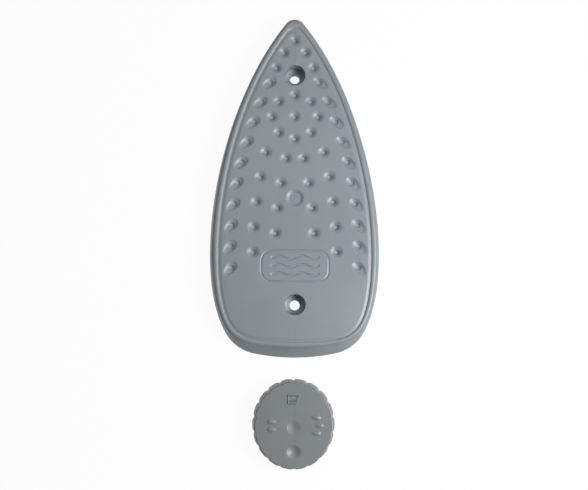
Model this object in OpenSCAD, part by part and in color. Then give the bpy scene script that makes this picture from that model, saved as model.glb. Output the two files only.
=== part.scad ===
// The two loose mouldings of a toy iron, laid out face up: its soleplate and its heat dial.
// The soleplate rests on the edge of its rim with the nose towards +Y.
// The dial lies on its skirt behind the heel, with its marks upwards.
// The origin is on the table, at the middle of the two pieces together.

/* [Soleplate] */
// Width of the soleplate at its widest, over the foot of the rim
plate_w = 90; // [80:1:100]
// Length of the soleplate from the heel to the tip of the nose
plate_l = 182.5; // [170:0.5:200]
// Height of the crest of the rim above the table
plate_h = 12; // [11:0.5:16]
// Wall thickness of the soleplate
plate_wall = 2; // [1.6:0.1:2.4]
// Radius of the tip of the nose
nose_r = 6; // [4:0.5:8]
// Radius of the long curve across the heel
heel_r = 105; // [90:1:140]
// Radius of the two corners of the heel
corner_r = 22.5; // [19:0.5:26]
// Distance from the heel to the widest place
widest_y = 56; // [50:1:64]

/* [Rim] */
// Width of the rim along the sides, from its foot to the middle of the groove
rim_side = 5.2; // [4.8:0.1:6]
// Width of the rim across the heel, from its foot to the middle of the groove
rim_heel = 8.2; // [7.5:0.1:10]
// Width of the rim at the nose, from its foot to the middle of the groove
rim_nose = 8; // [7:0.1:9]
// Distance from the middle of the groove out to the crest of the rim
crest_out = 1.45; // [1.2:0.05:1.8]
// Radius of the round shoulder between the crest and the wall
shoulder_r = 2.2; // [1.6:0.1:2.6]
// How far the flat sole face lies below the crest
face_drop = 0.15; // [0.05:0.05:0.3]
// How far the floor of the groove lies below the crest
groove_drop = 0.5; // [0.4:0.05:0.8]
// Width of the flat floor of the groove
groove_floor = 0.4; // [0.2:0.1:0.6]
// Width of the slope from the floor of the groove up to the sole face
groove_slope = 1.1; // [0.8:0.1:1.4]

/* [Dimples] */
// Radius of a dimple where it meets the sole face, and half the width of a scoop
dimple_r = 3.1; // [2.6:0.1:3.4]
// Depth of a dimple and of a scoop
dimple_depth = 0.9; // [0.7:0.05:1]
// Radius of the mouth of the blind vent at the bottom of each dimple
vent_r = 1.5; // [1.2:0.05:1.8]
// Depth of a blind vent below its mouth
vent_depth = 1; // [0.6:0.05:1.1]
// Length of a scoop from its vent to its inner end
scoop_in = 3.5; // [3.2:0.1:4.2]
// Length of a scoop from its vent to its outer end
scoop_out = 6.1; // [5:0.1:6.8]
// Number of scoops along each side
scoops = 10; // [8:1:10]
// Distance from the heel to the vent of the rearmost scoop
scoop_y = 46.5; // [44:0.5:50]
// Distance from one scoop to the next, measured along the outline
scoop_pitch = 11.2; // [10.5:0.1:11.6]
// Distance from the outline in to the vents of the scoops
scoop_inset = 11.7; // [11.2:0.1:13]
// Distance from one lengthwise row of dimples to the next
row_pitch = 11.5; // [10.5:0.1:12]
// Distance from one dimple to the next along a row
dimple_pitch = 13.2; // [12:0.1:14]
// Distance from the heel to the rearmost dimple of the outer row
row_y = 54.6; // [53:0.1:56]

/* [Screw wells] */
// Distance from the heel to the rear screw
rear_screw_y = 27.3; // [25:0.1:30]
// Distance between the two screws
screw_pitch = 121.8; // [110:0.1:126]
// Radius of a well at the sole face
well_r = 5.5; // [5:0.1:6]
// Depth of a well below the sole face
well_depth = 7; // [6:0.1:7.5]
// How much narrower a well is at its floor than at its mouth, in radius
well_taper = 0.4; // [0.2:0.05:0.6]
// How far the floor of a well is dished towards its hole
well_dish = 0.6; // [0.4:0.05:0.8]
// Radius of the sunk seat for the screw's head, in the floor of a well
seat_r = 4.3; // [3.6:0.1:4.4]
// Depth of that seat
seat_depth = 0.25; // [0.15:0.05:0.35]
// Radius of the screw hole
screw_hole_r = 2.65; // [2.2:0.05:3]
// Wall thickness of the boss round a well
boss_wall = 2; // [1.6:0.1:2.4]
// How far the foot of a boss stays above the table
boss_foot = 0.4; // [0.2:0.1:0.8]

/* [Back of the soleplate] */
// Thickness of the ribs on the back
rib_t = 1.4; // [1:0.1:1.8]
// Height of the ribs below the ceiling
rib_h = 3; // [2:0.1:3.5]
// Number of ribs across the back
cross_ribs = 5; // [3:1:6]
// Thickness of the gussets that hold a boss
gusset_t = 1.4; // [1:0.1:1.8]
// Length of a gusset out from its boss
gusset_l = 6; // [4:0.5:7]
// Height of the stud behind each dimple
stud_h = 1; // [0.6:0.1:1.2]

/* [Moulding marks] */
// Distance from the heel to the moulding gate
gate_y = 83; // [82:0.1:85]
// Radius of the recess round the gate, at the sole face
gate_r = 4.8; // [4.2:0.1:5.4]
// Radius of the recess round the gate, at its floor
gate_floor_r = 2.8; // [2.4:0.1:3.4]
// Depth of the recess round the gate
gate_depth = 0.6; // [0.4:0.05:0.8]
// Radius of the fine bead on the floor of the recess
gate_bead_r = 1.7; // [1.4:0.1:2]
// Width of that bead
gate_bead_w = 0.4; // [0.3:0.05:0.6]
// Height of that bead
gate_bead_h = 0.1; // [0.05:0.05:0.2]
// Radius of the stub that the gate leaves
gate_stub_r = 0.6; // [0.4:0.05:0.9]
// Height of the stub that the gate leaves
gate_stub_h = 0.3; // [0.2:0.05:0.4]

/* [Panel] */
// Distance from the heel to the middle of the ornamental panel
panel_y = 47.4; // [46:0.1:49]
// Width of the panel over its border
panel_w = 36; // [32:0.5:38]
// Length of the panel over its border, from heel to nose
panel_l = 17; // [16:0.5:18]
// Radius of the panel's corners
panel_r = 6; // [4:0.5:8]
// Width of the line cut round the panel
panel_line = 0.8; // [0.5:0.05:1]
// Depth of the line cut round the panel
panel_line_depth = 0.4; // [0.2:0.05:0.6]
// Depth of the waves cut in the panel
wave_depth = 0.4; // [0.2:0.05:0.6]
// Width of a wave
wave_w = 1.3; // [1:0.1:1.8]
// Length of a wave
wave_l = 24; // [18:0.5:26]
// How far a wave swings to either side
wave_swing = 0.9; // [0.5:0.1:1.2]
// Distance from one wave to the next
wave_pitch = 4.4; // [4:0.1:4.6]

/* [Dial] */
// Width of the dial over the foot of its skirt
dial_w = 43; // [38:0.5:48]
// Length of the dial over the foot of its skirt, from heel side to far side
dial_l = 46.6; // [40:0.2:50]
// Height of the dial
dial_h = 11; // [9:0.5:14]
// Wall thickness of the dial
dial_wall = 1.8; // [1.4:0.1:2.2]
// How far the skirt leans in from its foot to its shoulder
dial_taper = 1.2; // [0.6:0.1:1.6]
// Radius of the rounded edge round the dial's face
dial_edge_r = 0.7; // [0.5:0.1:1.4]
// Number of grip lobes round the dial
lobes = 18; // [12:1:20]
// Depth of the notches between the lobes
notch_depth = 0.7; // [0.5:0.1:1.2]
// Gap on the table between the heel and the dial
dial_gap = 11.1; // [8:0.1:20]
// How far the dial lies to the left of the soleplate's middle line
dial_aside = 0.6; // [0:0.1:5]

/* [Dial marks] */
// Distance from the dial's middle to its finger dimple
finger_y = 13.3; // [12:0.1:13.5]
// Radius of the finger dimple at the dial's face
finger_r = 3.6; // [2.8:0.1:3.8]
// Depth of the finger dimple
finger_depth = 1.1; // [0.8:0.05:1.2]
// Height of the raised marks
mark_h = 0.5; // [0.3:0.05:0.6]
// Length of a raised heat dot from its thickest place to its pointed end
dot_point = 2.9; // [2.4:0.1:3.2]
// Length of a raised heat dot from its thickest place to its blunt end
dot_round = 1.9; // [1.5:0.1:2.2]
// Half the width of a raised heat dot
dot_half = 1.4; // [1.2:0.1:1.6]
// Distance from the dial's middle to its heat dots
dot_x = 11.8; // [11:0.1:12.5]
// Distance from one heat dot to the next
dot_pitch = 3.9; // [3.6:0.1:4.2]
// How far the middle one of three dots stands out towards the edge
dot_bulge = 1.6; // [0.5:0.1:2]
// Width of the raised sign at the top of the dial
sign_w = 6.5; // [5:0.1:7]
// Length of the raised sign at the top of the dial
sign_l = 4.6; // [4:0.1:5]
// Width of the lines of the sign
sign_line = 0.7; // [0.5:0.05:0.9]
// Distance from the dial's middle to the middle of the sign
sign_y = 13; // [12:0.1:13.5]
// Distance from the dial's middle to its shallow gate hollow
hollow_y = 1.1; // [0:0.1:2]
// Radius of the gate hollow
hollow_r = 2.8; // [2.2:0.1:3.2]
// Depth of the shallow gate hollow
hollow_depth = 0.45; // [0.3:0.05:0.6]

/* [Dial hub] */
// Radius of the hub under the dial
hub_r = 4.6; // [4:0.1:5.5]
// Radius of the blind pivot hole in the hub
pivot_r = 2.1; // [1.6:0.05:2.5]
// Depth of the pivot hole from the foot of the hub
pivot_depth = 7.4; // [6:0.1:7.6]
// How far the foot of the hub stays above the table
hub_foot = 0.5; // [0.3:0.1:1]
// Number of ribs from the hub to the skirt
spokes = 6; // [4:1:8]
// Thickness of those ribs
spoke_t = 1.2; // [1:0.1:1.6]
// How far the foot of those ribs stays above the table
spoke_foot = 5; // [4:0.1:6]

/* [Hidden] */
$fn = 48;
silver = "#8e959d";

// One overrun for every cut that has to pass a face
over = plate_wall / 4;
face_z = plate_h - face_drop;
ceiling_z = face_z - plate_wall;
front_screw_y = rear_screw_y + screw_pitch;

// Angles of the outline, in degrees
nose_half_angle = 39;
corner_lean = 29;

// Shares of the outline's own sizes that place its curves
corner_centre_share = 0.376;
nose_lead_share = 0.354;
widest_lead_share = 0.306;
tail_lead_share = 0.3;
tail_end_share = 0.375;

// Steps along each curve of the outline
heel_steps = 4;
corner_steps = 6;
tail_steps = 7;
flank_steps = 18;
nose_steps = 6;

function bezier(a, b, c, d, t) =
    a * pow(1 - t, 3) + b * 3 * t * pow(1 - t, 2) + c * 3 * t * t * (1 - t) + d * pow(t, 3);

// The right half of the outline runs from the middle of the heel to the tip of the nose
corner_x = plate_w / 2 * corner_centre_share;
heel_turn = asin(corner_x / (heel_r - corner_r));
corner_y = heel_r - (heel_r - corner_r) * cos(heel_turn);
corner_turn = 90 - corner_lean;
tail_start = [corner_x + corner_r * sin(corner_turn), corner_y - corner_r * cos(corner_turn)];
tail_run = widest_y - tail_start.y;
tail_lead = tail_run * tail_lead_share;
widest = [plate_w / 2, widest_y];
nose_turn = 90 - nose_half_angle;
nose_start = [nose_r * sin(nose_turn), plate_l - nose_r + nose_r * cos(nose_turn)];
flank_run = nose_start.y - widest_y;
nose_lead = flank_run * nose_lead_share;

right_side = concat(
    [for (i = [0 : heel_steps - 1]) let (a = heel_turn * i / heel_steps)
        [heel_r * sin(a), heel_r - heel_r * cos(a)]],
    [for (i = [0 : corner_steps - 1]) let (a = heel_turn + (corner_turn - heel_turn) * i / corner_steps)
        [corner_x + corner_r * sin(a), corner_y - corner_r * cos(a)]],
    [for (i = [0 : tail_steps - 1])
        bezier(tail_start, tail_start + tail_lead * [sin(corner_lean), cos(corner_lean)],
               widest - [0, tail_run * tail_end_share], widest, i / tail_steps)],
    [for (i = [0 : flank_steps - 1])
        bezier(widest, widest + [0, flank_run * widest_lead_share],
               nose_start + nose_lead * [sin(nose_half_angle), -cos(nose_half_angle)],
               nose_start, i / flank_steps)],
    [for (i = [0 : nose_steps]) let (a = nose_turn * (1 - i / nose_steps))
        [nose_r * sin(a), plate_l - nose_r + nose_r * cos(a)]]
);
half_count = len(right_side);
outline = concat(right_side, [for (i = [half_count - 2 : -1 : 1]) [-right_side[i].x, right_side[i].y]]);
side_table = [for (p = right_side) [p.y, p.x]];

// Half the width of the outline at a distance from the heel
function half_at(y) = lookup(y, side_table);

// The lean of the outline towards the nose, over a stretch of it as long as the rim is wide to both sides
function lean_at(y) = atan((half_at(y - rim_side) - half_at(y + rim_side)) / (2 * rim_side));

// A level of the rim: the outline drawn in by its own amount at the sides, the heel and the nose;
// the heel's amount fades out over a share of the length, and the nose's towards the heel
heel_fade_share = 0.175;
nose_fade_power = 1.3;
function draw_in(p, side, heel, nose) = [
    p.x * (1 - 2 * side / plate_w),
    p.y + heel * pow(max(0, 1 - p.y / (plate_l * heel_fade_share)), 2)
        - nose * pow(p.y / plate_l, nose_fade_power)
];
function level(side, heel, nose, z) = [for (p = outline) concat(draw_in(p, side, heel, nose), z)];

// The top of the rim is as wide all round: its levels lie at a distance out from the middle of the
// groove, and the pointed nose takes longer steps
nose_stretch = 1 / sin(nose_half_angle);
function rim_level(out, z) = level(rim_side - out, rim_heel - out, rim_nose - out * nose_stretch, z);

// The wall below takes up what is left of the rim's width, at a share of the way up to the shoulder,
// and its inner face lies inside it by a share of the wall's thickness
shoulder_turn = 75;
shoulder_out = crest_out + shoulder_r * sin(shoulder_turn);
wall_top_z = plate_h - shoulder_r * (1 - cos(shoulder_turn));
function wall_level(share, inside_share, z) = level(
    (rim_side - shoulder_out) * share + plate_wall * inside_share,
    (rim_heel - shoulder_out) * share + plate_wall * inside_share,
    (rim_nose - shoulder_out * nose_stretch) * share + plate_wall * nose_stretch * inside_share,
    z
);
inner_top_z = ceiling_z - plate_wall;
inner_top_share = inner_top_z / wall_top_z;
inner_corner_share = 1.6;

// The levels run from the sole face out over the groove and the rim to the table, and back up inside
flank_levels = 3;
shoulder_steps = 5;
groove_half = groove_floor / 2;
plate_levels = concat(
    [for (i = [0 : flank_levels]) let (t = i / flank_levels)
        rim_level(-groove_half - groove_slope * (1 - t), face_z - (groove_drop - face_drop) * (1 - cos(90 * t)))],
    [for (i = [0 : flank_levels]) let (t = i / flank_levels)
        rim_level(groove_half + (crest_out - groove_half) * t, plate_h - groove_drop * (1 - sin(90 * t)))],
    [for (i = [1 : shoulder_steps]) let (a = shoulder_turn * i / shoulder_steps)
        rim_level(crest_out + shoulder_r * sin(a), plate_h - shoulder_r * (1 - cos(a)))],
    [wall_level(0, 0, 0)],
    [wall_level(0, 1, 0)],
    [wall_level(inner_top_share, 1, inner_top_z)],
    [wall_level(1, inner_corner_share, ceiling_z)]
);

// Closes a stack of rings into one solid: a cap on the first ring, bands between, a cap on the last
module skin(rings) {
    n = len(rings[0]);
    last = len(rings) - 1;
    polyhedron(
        points = [for (r = rings) each r],
        faces = concat(
            [[for (i = [n - 1 : -1 : 0]) i]],
            [for (k = [0 : last - 1], i = [0 : n - 1]) let (j = (i + 1) % n, here = k * n, next = here + n)
                each [[here + i, here + j, next + j], [here + i, next + j, next + i]]],
            [[for (i = [0 : n - 1]) last * n + i]]
        )
    );
}

// Places of the dimples round the front screw, as shares of half the width and of the way
// from the screw to the nose, and from the gate to the screw
ahead_dimple_shares = [[0, 0.57], [0.127, 0.37], [0.22, 0.12]];
behind_dimple_shares = [[0, 0.836], [0.188, 0.78], [0, 0.656], [0.271, 0.656], [0.191, 0.527], [0, 0.48]];
ahead_places = [for (s = ahead_dimple_shares)
    [s.x * plate_w / 2, front_screw_y + s.y * (plate_l - front_screw_y)]];
behind_places = [for (s = behind_dimple_shares)
    [s.x * plate_w / 2, gate_y + s.y * (front_screw_y - gate_y)]];

// Two lengthwise rows follow the outline, the inner one ahead by a share of the pitch
outer_row_count = 5;
inner_row_count = 4;
inner_row_lead_share = 0.75;
outer_row_places = [for (i = [0 : outer_row_count - 1])
    let (y = row_y + i * dimple_pitch) [half_at(y) - scoop_inset - row_pitch, y]];
inner_row_places = [for (i = [0 : inner_row_count - 1])
    let (y = row_y + (i + inner_row_lead_share) * dimple_pitch) [half_at(y) - scoop_inset - 2 * row_pitch, y]];
right_places = concat(ahead_places, behind_places, outer_row_places, inner_row_places);
dimple_places = concat(right_places, [for (p = right_places) if (p.x > 0) [-p.x, p.y]]);

// The scoops follow the outline too, at equal steps along it, and lie flatter towards the nose
scoop_turn_rear = 50;
scoop_turn_front = 42;
function scoop_steps(y, count) =
    count == 0 ? [] : concat([y], scoop_steps(y + scoop_pitch * cos(lean_at(y)), count - 1));
scoop_ys = scoop_steps(scoop_y, scoops);
scoop_places = [for (i = [0 : scoops - 1]) let (y = scoop_ys[i])
    [half_at(y) - scoop_inset / cos(lean_at(y)), y,
     scoop_turn_rear + (scoop_turn_front - scoop_turn_rear) * i / (scoops - 1)]];

// The ball that cuts a dimple has its middle above the sole face
function ball_r(r, depth) = (r * r + depth * depth) / (2 * depth);
dimple_ball_r = ball_r(dimple_r, dimple_depth);

module dimple(r, depth, z) {
    translate([0, 0, z + ball_r(r, depth) - depth]) sphere(r = ball_r(r, depth));
}

// A long drop turned about its own length, thickest where it starts and reaching out by its own lengths
egg_steps = 4;
egg_end_share = 1.12;
module egg(reach_in, reach_out, r, depth) {
    ball = ball_r(r, depth);
    lift = ball - depth;
    profile = concat(
        [for (i = [-egg_steps : egg_steps]) let (
            t = egg_end_share * i / egg_steps,
            along = t < 0 ? t * reach_in : t * reach_out
        ) [lift + depth * (1 - t * t), along]],
        [[0, egg_end_share * reach_out], [0, -egg_end_share * reach_in]]
    );
    translate([0, 0, lift]) rotate([0, 90, 0]) rotate_extrude() polygon(profile);
}

module scoop_cut(p) {
    translate([p.x, p.y, face_z]) rotate([0, 0, -p[2]]) egg(scoop_in, scoop_out, dimple_r, dimple_depth);
}

module mirrored_scoops() {
    for (p = scoop_places) scoop_cut(p);
    for (p = scoop_places) mirror([1, 0, 0]) scoop_cut(p);
}

// One blind vent at the bottom of each dimple and scoop, with its mouth where it meets the bowl
vent_places = concat(dimple_places, [for (p = scoop_places, s = [-1, 1]) [s * p.x, p.y]]);
vent_mouth_z = face_z + dimple_ball_r - dimple_depth - sqrt(pow(dimple_ball_r, 2) - pow(vent_r, 2));
module vents() {
    for (p = vent_places) translate([p.x, p.y, 0]) dimple(vent_r, vent_depth, vent_mouth_z);
}

// A tapered stud behind each dimple keeps the wall even
stud_foot_r = dimple_r - stud_h;
module studs() {
    for (p = vent_places) translate([p.x, p.y, ceiling_z - stud_h])
        cylinder(h = stud_h + over, r1 = stud_foot_r, r2 = dimple_r);
}

// A boss carries each screw well down to just above the table
boss_r = well_r + boss_wall;
screw_places = [rear_screw_y, front_screw_y];
module bosses() {
    for (y = screw_places) translate([0, y, boss_foot]) {
        cylinder(h = ceiling_z + over - boss_foot, r = boss_r);
        for (a = [45 : 90 : 315]) rotate([0, 0, a]) translate([0, -gusset_t / 2, rib_h])
            cube([boss_r + gusset_l, gusset_t, ceiling_z + over - boss_foot - rib_h]);
    }
}

// The seat is sunk from a share of the dish's height
seat_share = 0.7;
module wells() {
    floor_z = face_z - well_depth;
    floor_r = well_r - well_taper;
    for (y = screw_places) translate([0, y, 0]) {
        translate([0, 0, floor_z + well_dish])
            cylinder(h = well_depth - well_dish, r1 = floor_r, r2 = well_r);
        translate([0, 0, face_z]) cylinder(h = face_drop + over, r = well_r);
        translate([0, 0, floor_z]) cylinder(h = well_dish, r1 = screw_hole_r, r2 = floor_r);
        translate([0, 0, floor_z + well_dish * seat_share - seat_depth])
            cylinder(h = seat_depth + well_dish * (1 - seat_share), r = seat_r);
        cylinder(h = floor_z + over, r = screw_hole_r);
    }
}

// Ribs across the back end inside the side walls, and one rib joins the two bosses
module ribs() {
    rib_z = ceiling_z - rib_h;
    first = rear_screw_y + boss_r + gusset_l;
    run = front_screw_y - boss_r - gusset_l - first;
    for (i = [0 : cross_ribs - 1]) let (
        y = first + run * i / (cross_ribs - 1),
        half = half_at(y) - rim_side + shoulder_out - plate_wall / 2
    ) translate([-half, y - rib_t / 2, rib_z]) cube([2 * half, rib_t, rib_h + over]);
    translate([-rib_t / 2, rear_screw_y, rib_z]) cube([rib_t, screw_pitch, rib_h + over]);
}

module gate_cut() {
    translate([0, gate_y, face_z - gate_depth]) {
        cylinder(h = gate_depth, r1 = gate_floor_r, r2 = gate_r);
        translate([0, 0, gate_depth]) cylinder(h = over, r = gate_r);
    }
}

module gate_marks() {
    translate([0, gate_y, face_z - gate_depth - over]) {
        cylinder(h = gate_stub_h + over, r = gate_stub_r);
        rotate_extrude()
            translate([gate_bead_r - gate_bead_w / 2, 0]) square([gate_bead_w, gate_bead_h + over]);
    }
}

// A flat shape with four round corners
module rounded(w, l, r) {
    square([w - 2 * r, l], center = true);
    square([w, l - 2 * r], center = true);
    for (x = [-1, 1], y = [-1, 1]) translate([x * (w / 2 - r), y * (l / 2 - r)]) circle(r = r);
}

module panel_cut() {
    translate([0, panel_y, face_z - panel_line_depth]) linear_extrude(panel_line_depth + over) difference() {
        rounded(panel_w, panel_l, panel_r);
        rounded(panel_w - 2 * panel_line, panel_l - 2 * panel_line, panel_r - panel_line);
    }
}

// Three waves cut in the face, as rising heat is drawn
wave_count = 3;
wave_turns = 2;
wave_steps = 24;
function wave_edge(i, side) =
    [wave_l * i / wave_steps, wave_swing * sin(360 * wave_turns * i / wave_steps) + side * wave_w / 2];
module waves() {
    first_y = panel_y - wave_pitch * (wave_count - 1) / 2;
    for (k = [0 : wave_count - 1]) translate([-wave_l / 2, first_y + k * wave_pitch, face_z - wave_depth])
        linear_extrude(wave_depth + over) polygon(concat(
            [for (i = [0 : wave_steps]) wave_edge(i, -1)],
            [for (i = [wave_steps : -1 : 0]) wave_edge(i, 1)]
        ));
}

module soleplate() {
    color(silver) translate([0, -middle_y, 0]) {
        difference() {
            union() {
                skin(plate_levels);
                studs();
                bosses();
                ribs();
            }
            for (p = dimple_places) translate([p.x, p.y, 0]) dimple(dimple_r, dimple_depth, face_z);
            mirrored_scoops();
            vents();
            wells();
            gate_cut();
            panel_cut();
            waves();
        }
        gate_marks();
    }
}

// The dial's outline is a slightly long round with notches between its grip lobes
lobe_points = 8;
notch_sharpness = 6;
dial_steps = lobes * lobe_points;
function dial_ring(inset, notch, z) = [for (i = [0 : dial_steps - 1]) let (
    a = 360 * i / dial_steps,
    cut = inset + notch * pow((1 + cos(lobes * (a - 90))) / 2, notch_sharpness)
) [(dial_w / 2 - cut) * cos(a), (dial_l / 2 - cut) * sin(a), z]];

// The middle of the layout on the table, and of the dial, measured from the heel
dial_reach = max([for (p = dial_ring(0, notch_depth, 0)) p.y]);
dial_y = -dial_gap - dial_reach;
middle_y = (plate_l + dial_y - dial_reach) / 2;

edge_steps = 3;
dial_ceiling_z = dial_h - dial_wall;
dial_inner = dial_wall + notch_depth;
dial_levels = concat(
    [for (i = [0 : edge_steps])
        let (a = 90 * i / edge_steps, inset = dial_edge_r * (1 - sin(a)), drop = dial_edge_r * (1 - cos(a)))
        dial_ring(dial_taper + inset, notch_depth, dial_h - drop)],
    [dial_ring(0, notch_depth, 0)],
    [dial_ring(dial_inner, 0, 0)],
    [dial_ring(dial_inner + dial_taper, 0, dial_ceiling_z)]
);

// A raised drop whose point looks towards the middle of the dial
module heat_dot(x, y, turn) {
    reach = dot_point + dot_round;
    translate([x, y, dial_h]) rotate([0, 0, turn]) intersection() {
        mirror([0, 0, 1]) egg(dot_point, dot_round, dot_half, mark_h);
        translate([-reach, -reach, -over]) cube([2 * reach, 2 * reach, 2 * mark_h + over]);
    }
}

module heat_dots() {
    for (i = [-1 : 1]) heat_dot(dot_x + dot_bulge * (1 - abs(i)), i * dot_pitch, 0);
    for (s = [-1, 1]) heat_dot(-dot_x, s * dot_pitch / 2, 180);
}

// A small iron seen from the side and lying sole up, its nose slanting down from the sole
sign_nose_share = 0.3;
sign_body_share = 0.62;
module sign_shape() {
    body_y = sign_l * (1 - sign_body_share);
    nose = sign_w * sign_nose_share;
    difference() {
        polygon([[0, sign_l], [sign_w, sign_l], [sign_w - nose, body_y], [0, body_y]]);
        polygon([
            [sign_line, sign_l - sign_line], [sign_w - 2 * sign_line, sign_l - sign_line],
            [sign_w - nose - sign_line, body_y + sign_line], [sign_line, body_y + sign_line]
        ]);
    }
    square([sign_w - nose, sign_line]);
    square([sign_line, sign_l]);
}

module sign() {
    translate([-sign_w / 2, sign_y - sign_l / 2, dial_h - over]) linear_extrude(mark_h + over) sign_shape();
}

module hub() {
    difference() {
        union() {
            translate([0, 0, hub_foot]) cylinder(h = dial_ceiling_z + over - hub_foot, r = hub_r);
            for (i = [0 : spokes - 1]) let (
                a = 360 * (i + 0.5) / spokes,
                reach = min(dial_w, dial_l) / 2 - dial_inner + notch_depth / 2
            ) rotate([0, 0, a]) translate([0, -spoke_t / 2, spoke_foot])
                cube([reach, spoke_t, dial_ceiling_z + over - spoke_foot]);
        }
        translate([0, 0, hub_foot - over]) cylinder(h = pivot_depth + over, r = pivot_r);
    }
}

module dial() {
    color(silver) translate([-dial_aside, dial_y - middle_y, 0]) {
        difference() {
            skin(dial_levels);
            translate([0, -finger_y, 0]) dimple(finger_r, finger_depth, dial_h);
            translate([0, -hollow_y, 0]) dimple(hollow_r, hollow_depth, dial_h);
        }
        hub();
        heat_dots();
        sign();
    }
}

soleplate();
dial();
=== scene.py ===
import bmesh
import bpy
import functools
import math
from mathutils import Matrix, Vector
from mathutils.geometry import delaunay_2d_cdt


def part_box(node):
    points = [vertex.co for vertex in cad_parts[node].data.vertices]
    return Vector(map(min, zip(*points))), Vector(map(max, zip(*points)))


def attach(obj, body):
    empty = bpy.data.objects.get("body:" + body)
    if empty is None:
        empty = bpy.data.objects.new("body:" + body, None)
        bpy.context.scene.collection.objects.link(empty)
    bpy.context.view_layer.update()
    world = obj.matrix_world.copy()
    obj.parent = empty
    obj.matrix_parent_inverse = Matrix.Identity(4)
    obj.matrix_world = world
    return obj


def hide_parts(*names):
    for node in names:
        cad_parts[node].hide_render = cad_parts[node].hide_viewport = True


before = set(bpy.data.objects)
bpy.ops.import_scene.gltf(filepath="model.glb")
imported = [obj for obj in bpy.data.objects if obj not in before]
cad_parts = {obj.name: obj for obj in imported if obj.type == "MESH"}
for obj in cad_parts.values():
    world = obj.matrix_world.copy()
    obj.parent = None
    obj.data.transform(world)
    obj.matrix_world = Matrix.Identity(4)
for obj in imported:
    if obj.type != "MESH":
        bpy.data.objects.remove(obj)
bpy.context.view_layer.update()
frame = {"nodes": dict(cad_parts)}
mm = 0.001  # the modelling below is in millimetres, the scene in metres
print("frame loaded:", ", ".join(frame["nodes"]))


def addObject(name, data):
    made = bpy.data.objects.new(name, data)
    bpy.context.scene.collection.objects.link(made)
    return made


# mesh tools

class Skin:  # the points and faces of one moulding, in millimetres
    def __init__(self):
        self.points = []
        self.faces = []

    def ring(self, points):
        first = len(self.points)
        self.points.extend(points)
        return list(range(first, len(self.points)))

    def band(self, outer, inner):
        for i in range(len(outer)):
            j = (i + 1) % len(outer)
            self.faces.append((outer[i], outer[j], inner[j], inner[i]))

    def stack(self, loops):  # rings joined one to the next, returned as first and last
        rings = [self.ring(loop) for loop in loops]
        for outer, inner in zip(rings, rings[1:]):
            self.band(outer, inner)
        return rings[0], rings[-1]

    def close(self, ring, point):
        middle = self.ring([point])[0]
        for i in range(len(ring)):
            self.faces.append((ring[i], ring[(i + 1) % len(ring)], middle))

    def sheet(self, rim, holes):  # the flat field between a rim and the holes in it
        insideOnly, samePoint = 1, 1e-7  # what is filled, and the distance at which two points are one
        loops = [rim] + holes
        owner = [k for k, loop in enumerate(loops) for _ in loop]
        index = [point for loop in loops for point in loop]
        flat = [Vector(self.points[point][:2]) for point in index]
        edges = []
        first = 0
        for loop in loops:
            edges += [(first + i, first + (i + 1) % len(loop)) for i in range(len(loop))]
            first += len(loop)
        found = delaunay_2d_cdt(flat, edges, [], insideOnly, samePoint)
        for face in found[2]:
            origin = [found[3][corner][0] for corner in face]
            owners = {owner[k] for k in origin}
            if len(owners) > 1 or owners == {0}:  # inside one hole, all corners belong to it
                self.faces.append(tuple(index[k] for k in origin))

    def patch(self, place, turn, reach, height, spec, top):
        # a feature in a flat field: spec has its rings as shares of its reach, the number of points around
        # each ring, and the share past which the feature fades into the field
        c, s = math.cos(turn), math.sin(turn)
        angles = roundAngles(spec["around"])
        loops = []
        for share in spec["rings"]:
            loop = []
            for angle in angles:
                x, y = reach(angle, share) * math.cos(angle), reach(angle, share) * math.sin(angle)
                z = top + height(x, y) * (1 - softStep(share, spec["fade"], 1))
                loop.append((place[0] + x * c - y * s, place[1] + x * s + y * c, z))
            loops.append(loop)
        outer, inner = self.stack(loops)
        self.close(inner, (place[0], place[1], top + height(0, 0)))
        return outer

    def turned(self, place, path, around):  # a path of radius and height, turned on a lathe
        angles = roundAngles(around)
        loops = []
        for r, z in path:
            loops.append([(place[0] + r * math.cos(a), place[1] + r * math.sin(a), z) for a in angles])
        return self.stack(loops)

    def bar(self, start, end, thick, low, high, flare):  # a rib that flares into the ceiling above it
        half, edge, sink = thick / 2, thick / 4, flare / 4
        side = softPath([
            (half + flare, high + sink, 0), (half, high - flare / 2, flare), (half, low, edge), (0, low, 0),
        ])
        section = side + [(-u, z) for u, z in reversed(side[:-1])]
        along = Vector(end) - Vector(start)
        across = Vector((along.y, -along.x)).normalized()
        loops = []
        for foot in (start, end):
            loops.append([(foot[0] + across.x * u, foot[1] + across.y * u, z) for u, z in section])
        first, last = self.stack(loops)
        self.faces += [tuple(first), tuple(last)]

    def piece(self, name, shift):
        mesh = bpy.data.meshes.new(name)
        mesh.from_pydata([(Vector(p) + shift) * mm for p in self.points], [], self.faces)
        work = bmesh.new()
        work.from_mesh(mesh)
        bmesh.ops.recalc_face_normals(work, faces=work.faces)
        for face in work.faces:
            face.smooth = True
        work.to_mesh(mesh)
        work.free()
        print("made", name, "with", len(mesh.polygons), "faces")
        return addObject(name, mesh)


def roundAngles(count):  # angles spaced evenly over a whole turn
    return [2 * math.pi * k / count for k in range(count)]


def arc(steps):  # angles from 0 to a quarter turn
    return [math.pi / 2 * k / steps for k in range(steps + 1)]


def spaced(first, last, count):  # values spaced evenly from the first towards the last, which is left out
    return [first + (last - first) * k / count for k in range(count)]


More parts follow.
